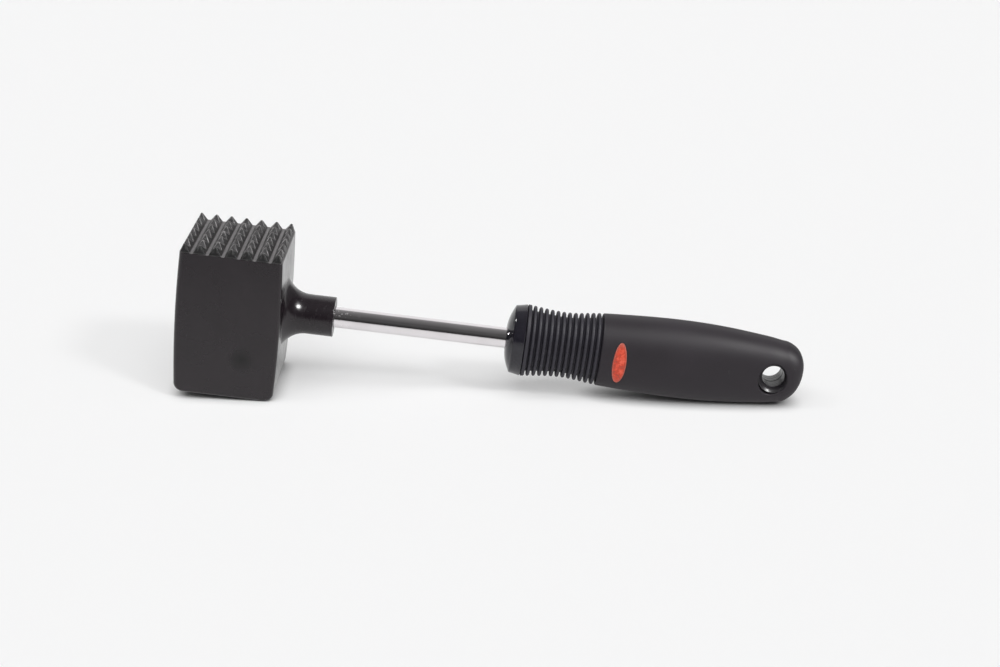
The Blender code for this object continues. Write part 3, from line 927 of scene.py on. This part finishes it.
def painted_hip_highlight(paint, axes):
    """One along the corners and tips of the teeth, where a highlight is painted, else zero."""
    across = paint.maths("SUBTRACT", from_centres(paint, axes["X"], PITCH), TIP_HALF)
    along = paint.maths("SUBTRACT", from_centres(paint, axes["Y"], PITCH), TIP_HALF)
    flank = TOOTH_HEIGHT / ((PITCH - GROOVE) / 2 - TIP_HALF)
    slope = (TOOTH_HEIGHT - NOTCH_FLOOR) / (PITCH / 2 - TIP_HALF)
    fall = paint.maths("MULTIPLY", across, flank)
    apart = paint.maths("SUBTRACT", fall, paint.maths("MULTIPLY", along, slope))
    near = paint.span(paint.maths("ABSOLUTE", apart, 0), 0.00012, 0.00042, 1.0, 0.0)
    high = paint.span(axes["Z"], HEAD_ABOVE + 0.0008, HEAD_ABOVE + 0.0014, 0.0, 1.0)
    broken = paint.span(paint.noise(420, 3, 0.6), 0.35, 0.62, 0.15, 1.0)
    return paint.maths("MULTIPLY", paint.maths("MULTIPLY", near, high), broken)


def head_material():
    """Dark satin coating; the toothed face is rougher, as cast, with a painted highlight along
    its tooth edges.
    """
    paint = Paint("head_coating", Metallic=0.0, IOR=1.46)
    axes = paint.axes()
    cast = paint.span(axes["Z"], HEAD_ABOVE - 0.0002, HEAD_ABOVE - 0.00005, 0.0, 1.0)
    broad = paint.noise(60, 3, 0.55)
    coat = paint.ramp(broad, ((0.3, (0.0125, 0.0088, 0.0113)), (0.7, (0.0170, 0.0124, 0.0155))))
    spot = paint.nodes.new("ShaderNodeVectorMath")
    spot.operation = "DISTANCE"
    paint.link(paint.place, spot.inputs[0])
    spot.inputs[1].default_value = SMUDGE
    smudge = paint.span(spot.outputs["Value"], 0.0004, 0.0062, 0.80, 0.0)
    coat = paint.mix(smudge, coat, (0.001, 0.001, 0.001))
    mottle = paint.noise(900, 4, 0.7)
    raw = paint.ramp(mottle, ((0.38, (0.006, 0.0054, 0.0058)), (0.66, (0.050, 0.046, 0.048))))
    # Painted light: the low floor of the toothed face, in the grooves and round the rows, is
    # paler, as if lit from above.
    groove_painted_light = paint.ramp(mottle, ((0.3, (0.095, 0.089, 0.092)), (0.7, (0.150, 0.141, 0.144))))
    low = paint.span(axes["Z"], HEAD_ABOVE + 0.0001, HEAD_ABOVE + 0.0004, 1.0, 0.0)
    behind = paint.span(axes["Y"], 0.0002 - HEAD_DEPTH / 2, 0.0007 - HEAD_DEPTH / 2, 0.0, 1.0)
    within = paint.span(axes["X"], 0.0002 - HEAD_LENGTH / 2, 0.0007 - HEAD_LENGTH / 2, 0.0, 1.0)
    between = from_centres(paint, axes["X"], PITCH)
    foot = (PITCH - GROOVE) / 2
    between = paint.span(between, foot - 0.0001, foot, 0.0, 1.0)
    low = paint.maths("MULTIPLY", low, paint.maths("MAXIMUM", behind, between))
    raw = paint.mix(paint.maths("MULTIPLY", low, within), raw, groove_painted_light)
    # Painted shade: the front flanks of the front row of teeth are darkened, as they face the dim
    # room.
    front = -row_centre(ROWS - 1)
    front_flank_shade = paint.span(axes["Y"], front + TIP_HALF, front - TIP_HALF, 0.0, 0.88)
    front_flank_shade = paint.maths("MULTIPLY", front_flank_shade, paint.maths("SUBTRACT", 1.0, low))
    raw = paint.mix(front_flank_shade, raw, (0.004, 0.004, 0.004))
    # Painted highlight: a pale tone along the tooth hips and tips, for the light their rounded
    # edges catch.
    hip_highlight_tone = paint.ramp(mottle, ((0.3, (0.20, 0.19, 0.195)), (0.7, (0.62, 0.60, 0.605))))
    hip_highlight_share = paint.maths("MULTIPLY", painted_hip_highlight(paint, axes), paint.maths("SUBTRACT", 1.0, front_flank_shade))
    raw = paint.mix(hip_highlight_share, raw, hip_highlight_tone)
    paint.colour(paint.mix(cast, coat, raw))
    streaks = paint.noise(420, 3, 0.6, paint.stretch((1, 1, 0.06)))
    streaks = paint.span(streaks, 0.35, 0.7, -0.05, 0.06)
    satin = paint.span(paint.noise(220, 4, 0.6), 0.35, 0.7, 0.15, 0.22)
    satin = paint.maths("ADD", satin, streaks)
    neck = paint.span(axes["X"], HEAD_LENGTH / 2 + 0.001, HEAD_LENGTH / 2 + 0.005, 0.0, 0.07)
    satin = paint.maths("ADD", satin, neck)
    grainy = paint.span(paint.noise(700, 3, 0.6), 0.3, 0.7, 0.34, 0.50)
    satin = paint.maths("ADD", satin, paint.maths("MULTIPLY", smudge, 0.35))
    smooth_side = paint.maths("MULTIPLY", paint.maths("SUBTRACT", 1.0, cast), satin)
    paint.rough(paint.maths("ADD", smooth_side, paint.maths("MULTIPLY", cast, grainy)))
    speck = paint.noise(2600, 2, 0.6)
    first = paint.bump(speck, 0.12, 0.00002)
    pits = paint.maths("MULTIPLY", cast, paint.noise(1500, 4, 0.7))
    paint.bump(pits, 0.8, 0.0003, first)
    return paint.material


def shaft_material():
    paint = Paint("chrome_plate", Metallic=1.0)
    paint.mottled(90, 3, (0.73, 0.70, 0.715), (0.80, 0.775, 0.79))
    smear = paint.noise(320, 4, 0.65, paint.stretch((0.10, 2.5, 2.5)))
    streaks = paint.span(smear, 0.38, 0.68, 0.03, 0.17)
    axes = paint.axes()
    marks = paint.span(paint.noise(900, 2, 0.6), 0.58, 0.66, 0.0, 0.30)
    near_neck = paint.span(axes["X"], NECK_END + 0.004, NECK_END + 0.014, 1.0, 0.0)
    paint.rough(paint.maths("ADD", streaks, paint.maths("MULTIPLY", marks, near_neck)))
    draw = paint.noise(900, 2, 0.5, paint.stretch((0.02, 1, 1)))
    paint.bump(draw, 0.15, 0.00001)
    return paint.material


def ferrule_material():
    paint = Paint("ferrule_plastic", Metallic=0.0, IOR=1.5)
    paint.mottled(140, 2, (0.013, 0.012, 0.017), (0.018, 0.0165, 0.023))
    paint.rough(paint.span(paint.noise(500, 4, 0.6), 0.3, 0.75, 0.07, 0.14))
    paint.bump(paint.noise(700, 3, 0.55), 0.05, 0.00002)
    return paint.material


def grip_material():
    paint = Paint("grip_rubber", Metallic=0.0, IOR=1.47)
    bloom = paint.noise(45, 4, 0.6)
    body = paint.ramp(bloom, ((0.3, (0.0110, 0.0070, 0.0112)), (0.75, (0.0165, 0.0115, 0.0170))))
    # Painted sheen: the ribbed zone is paler and bluer than the rest of the same rubber, for the
    # light the fins catch.
    rib_painted_sheen = paint.ramp(bloom, ((0.3, (0.0210, 0.0190, 0.0275)), (0.75, (0.0290, 0.0265, 0.0370))))
    axes = paint.axes()
    ribbed = paint.span(axes["X"], GRIP_BODY - 0.0005, GRIP_BODY + 0.0005, 1.0, 0.0)
    base = paint.mix(ribbed, body, rib_painted_sheen)
    speck = paint.ramp(paint.noise(380, 3, 0.7), ((0.70, 0.0), (0.78, 0.6)))
    paint.colour(paint.mix(speck, base, (0.055, 0.053, 0.054)))
    paint.rough(paint.span(bloom, 0.3, 0.7, 0.56, 0.64))
    fine = paint.noise(3200, 3, 0.65)
    paint.bump(fine, 0.35, 0.00004)
    return paint.material


def eye_material():
    paint = Paint("eye_plastic", Metallic=0.0, IOR=1.5)
    paint.mottled(200, 2, (0.022, 0.020, 0.023), (0.030, 0.027, 0.031))
    rings = paint.noise(1.0, 1, 0.5, paint.stretch((12, 1500, 12)))
    paint.rough(paint.span(rings, 0.3, 0.7, 0.24, 0.36))
    paint.bump(rings, 0.4, 0.00008)
    return paint.material


def badge_material():
    paint = Paint("badge_plastic", Metallic=0.0, IOR=1.4)
    mottle = paint.noise(620, 4, 0.65)
    stops = (
        (0.36, (0.40, 0.065, 0.042)),
        (0.5, (0.66, 0.060, 0.026)),
        (0.68, (0.80, 0.135, 0.075)),
    )
    base = paint.ramp(mottle, stops)
    axes = paint.axes()
    along = paint.maths("DIVIDE", paint.maths("SUBTRACT", axes["X"], BADGE), BADGE_WIDTH)
    up = paint.maths("DIVIDE", paint.maths("ADD", axes["Z"], BADGE_DROP), BADGE_HEIGHT)
    reach = paint.maths("ADD", paint.maths("POWER", along, 2), paint.maths("POWER", up, 2))
    paint.colour(paint.mix(paint.span(reach, 0.62, 0.92, 0.0, 0.7), base, (0.52, 0.155, 0.115)))
    paint.rough(paint.span(mottle, 0.3, 0.7, 0.45, 0.6))
    paint.bump(paint.noise(2200, 3, 0.6), 0.5, 0.00006)
    return paint.material


def core_material():
    paint = Paint("core_nylon", Metallic=0.0)
    paint.mottled(120, 3, (0.024, 0.024, 0.025), (0.036, 0.036, 0.036))
    paint.rough(paint.span(paint.noise(400, 2, 0.5), 0.3, 0.7, 0.42, 0.56))
    paint.bump(paint.noise(900, 3, 0.6), 0.3, 0.00004)
    return paint.material


def pin_material():
    paint = Paint("pin_steel", Metallic=1.0)
    paint.mottled(300, 2, (0.50, 0.50, 0.51), (0.58, 0.58, 0.58))
    drawn = paint.stretch((1, 0.05, 1))
    paint.rough(paint.span(paint.noise(700, 2, 0.5, drawn), 0.3, 0.7, 0.24, 0.36))
    paint.bump(paint.noise(1200, 2, 0.5, drawn), 0.15, 0.00002)
    return paint.material


def place(obj, paint, slot, *nodes):
    obj.data.materials.clear()
    obj.data.materials.append(paint)
    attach(obj, "root")
    if nodes:
        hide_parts(*nodes)


def repaint(node, paint):
    obj = frame["nodes"][node]
    obj.data.materials.clear()
    obj.data.materials.append(paint)


place(make_head(), head_material(), "cast_head", "head")
place(make_shaft(), shaft_material(), "bright_rod", "shaft")
place(make_ferrule(), ferrule_material(), "ferrule_gloss", "ferrule")
place(make_grip(), grip_material(), "soft_grip", "grip")
EYE_PAINT = eye_material()
place(make_eye_half("eye_ring_front", -1), EYE_PAINT, "eye_gloss", "eye_liner_front")
place(make_eye_half("eye_ring_rear", 1), EYE_PAINT, "eye_gloss", "eye_liner_rear")
place(make_badge(), badge_material(), "badge_red", "badge")
repaint("handle_core", core_material())
repaint("cross_pin", pin_material())


# Floor, light and camera

AROUND = 0.12
FLOOR_HALF = 4.0
FLOOR_FRONT = -0.5
PAPER_WHITE = 0.92
PAPER_OWN_SHARE = 0.45
NEAR_CONTACT = 0.009
FRONT_FADE = (-0.20, -0.07)


def make_floor():
    """Pale paper, partly even white where seen directly or in a gloss, to keep shadows light."""
    bm = bmesh.new()
    corners = []
    for x, y in ((-1, FLOOR_FRONT), (1, FLOOR_FRONT), (1, FLOOR_HALF), (-1, FLOOR_HALF)):
        corners.append((x * FLOOR_HALF, y, 0))
    bm.faces.new([bm.verts.new(corner) for corner in corners])
    mesh = bpy.data.meshes.new("floor")
    bm.to_mesh(mesh)
    bm.free()
    floor = bpy.data.objects.new("floor", mesh)
    bpy.context.scene.collection.objects.link(floor)
    paint = Paint("floor_paper", Metallic=0.0, Roughness=0.9, Specular_IOR_Level=0.0)
    glow = paint.nodes.new("ShaderNodeEmission")
    glow.inputs["Color"].default_value = (PAPER_WHITE, PAPER_WHITE, PAPER_WHITE, 1)
    # Painted contact shadow: ambient occlusion takes the even white away where the object closes
    # the paper in.
    closed = paint.nodes.new("ShaderNodeAmbientOcclusion")
    closed.samples = 12
    closed.inputs["Distance"].default_value = NEAR_CONTACT
    open_share = paint.span(closed.outputs["AO"], 0.22, 0.80, 0.0, 1.0)
    level = paint.split(paint.nodes["Texture Coordinate"].outputs["Object"])
    fade = paint.span(level["Y"], *FRONT_FADE, 0.0, 1.0)
    path = paint.nodes.new("ShaderNodeLightPath")
    strength = paint.maths("MAXIMUM", open_share, path.outputs["Is Glossy Ray"])
    paint.link(strength, glow.inputs["Strength"])
    gloss = paint.maths("MULTIPLY", path.outputs["Is Glossy Ray"], fade)
    mirrored = paint.ramp(fade, ((0, 0.62), (1, 0.94)))
    paint.colour(paint.mix(path.outputs["Is Glossy Ray"], (0.94, 0.94, 0.943), mirrored))
    seen = paint.maths("MAXIMUM", path.outputs["Is Camera Ray"], gloss)
    seen = paint.maths("MAXIMUM", seen, path.outputs["Is Transmission Ray"])
    both = paint.nodes.new("ShaderNodeMixShader")
    paint.link(paint.maths("MULTIPLY", seen, PAPER_OWN_SHARE), both.inputs[0])
    paint.link(paint.shader.outputs[0], both.inputs[1])
    paint.link(glow.outputs[0], both.inputs[2])
    paint.link(both.outputs[0], paint.nodes["Material Output"].inputs["Surface"])
    mesh.materials.append(paint.material)


BACK_LEAN = 31
BACK_STOPS = ((0.02, 0.09), (0.10, 0.14), (0.30, 0.22), (0.47, 0.34), (0.54, 1.0))
BACK_WIDTH = (0.34, 0.52)
BESIDE = 0.25
SKIRTING = (0.05, 0.55)


def make_world():
    """A pale wall far behind the object for its gloss, a dim room, and even light all round."""
    world = bpy.data.worlds.new("studio")
    bpy.context.scene.world = world
    sky = Tree(world)
    ray = sky.split(sky.nodes.new("ShaderNodeTexCoord").outputs["Generated"])
    lean = math.radians(BACK_LEAN)
    level = sky.maths("MULTIPLY", ray["Y"], math.cos(lean))
    level = sky.maths("SUBTRACT", level, sky.maths("MULTIPLY", ray["Z"], math.sin(lean)))
    behind = sky.ramp(sky.span(level, -1, 1, 0, 1), BACK_STOPS)
    aside = sky.span(sky.maths("ABSOLUTE", ray["X"], 0), *BACK_WIDTH, 1.0, BESIDE)
    above = sky.span(ray["Z"], *SKIRTING, 0.25, 1.0)
    skirting = sky.maths("MAXIMUM", above, sky.span(ray["Y"], 0, 0.1, 0, 1))
    gloss = sky.maths("MULTIPLY", sky.maths("MULTIPLY", behind, aside), skirting)
    path = sky.nodes.new("ShaderNodeLightPath")
    shown = sky.choose(path.outputs["Is Camera Ray"], gloss, PAPER_WHITE)
    shown = sky.choose(path.outputs["Is Diffuse Ray"], shown, AROUND)
    background = sky.nodes["Background"]
    sky.link(shown, background.inputs["Color"])
    background.inputs["Strength"].default_value = 1.0
    world.cycles.sampling_method = "NONE"


def add_sun(name, direction, share, angle, glossy):
    """A far soft lamp, for gloss or matt only, that gives the floor this share of full light."""
    lamp = bpy.data.lights.new(name, "SUN")
    lamp.energy = share * math.pi / Vector(direction).normalized().z
    lamp.angle = math.radians(angle)
    obj = bpy.data.objects.new(name, lamp)
    bpy.context.scene.collection.objects.link(obj)
    obj.rotation_euler = Vector(direction).to_track_quat("Z", "Y").to_euler()
    obj.visible_glossy = glossy
    obj.visible_diffuse = not glossy


CAMERA_ELEVATION = 23.101
CAMERA_ROLL = 2.209
CAMERA_DISTANCE = 0.67974
CAMERA_TARGET = (0.00242, 0, 0.026083)
FOCAL_PIXELS = 1618.3
PICTURE_WIDTH = 1000
SENSOR_WIDTH = 36


def make_camera():
    elevation = math.radians(CAMERA_ELEVATION)
    roll = math.radians(CAMERA_ROLL)
    target = Vector(CAMERA_TARGET)
    look = Vector((0, math.cos(elevation), -math.sin(elevation)))
    right = Vector((1, 0, 0))
    up = right.cross(look)
    side = right * math.cos(roll) + up * math.sin(roll)
    top = up * math.cos(roll) - right * math.sin(roll)
    data = bpy.data.cameras.new("camera")
    data.sensor_fit = "HORIZONTAL"
    data.sensor_width = SENSOR_WIDTH
    data.lens = FOCAL_PIXELS * SENSOR_WIDTH / PICTURE_WIDTH
    data.clip_start = 0.01
    data.clip_end = 50
    camera = bpy.data.objects.new("camera", data)
    bpy.context.scene.collection.objects.link(camera)
    camera.matrix_world = Matrix.Translation(target - look * CAMERA_DISTANCE) @ Matrix(
        (side, top, -look)
    ).transposed().to_4x4()
    bpy.context.scene.camera = camera


make_floor()
make_world()
TO_RIGHT_LAMP = (0.617, -0.425, 0.662)
TO_LEFT_LAMP = (-0.628, -0.144, 0.765)
TO_CEILING = (0.0, -0.45, 1.0)
# Name, direction, share of full light, angle across in degrees, and whether it serves gloss
LAMPS = (
    ("lamp_right", TO_RIGHT_LAMP, 0.17, 11, False),
    ("lamp_left", TO_LEFT_LAMP, 0.08, 11, False),
    ("ceiling", TO_CEILING, 0.62, 60, False),
    ("gloss_right", TO_RIGHT_LAMP, 0.85, 9, True),
    ("gloss_left", TO_LEFT_LAMP, 0.49, 9, True),
)
for lamp in LAMPS:
    add_sun(*lamp)
make_camera()
bpy.context.scene.view_settings.view_transform = "Standard"
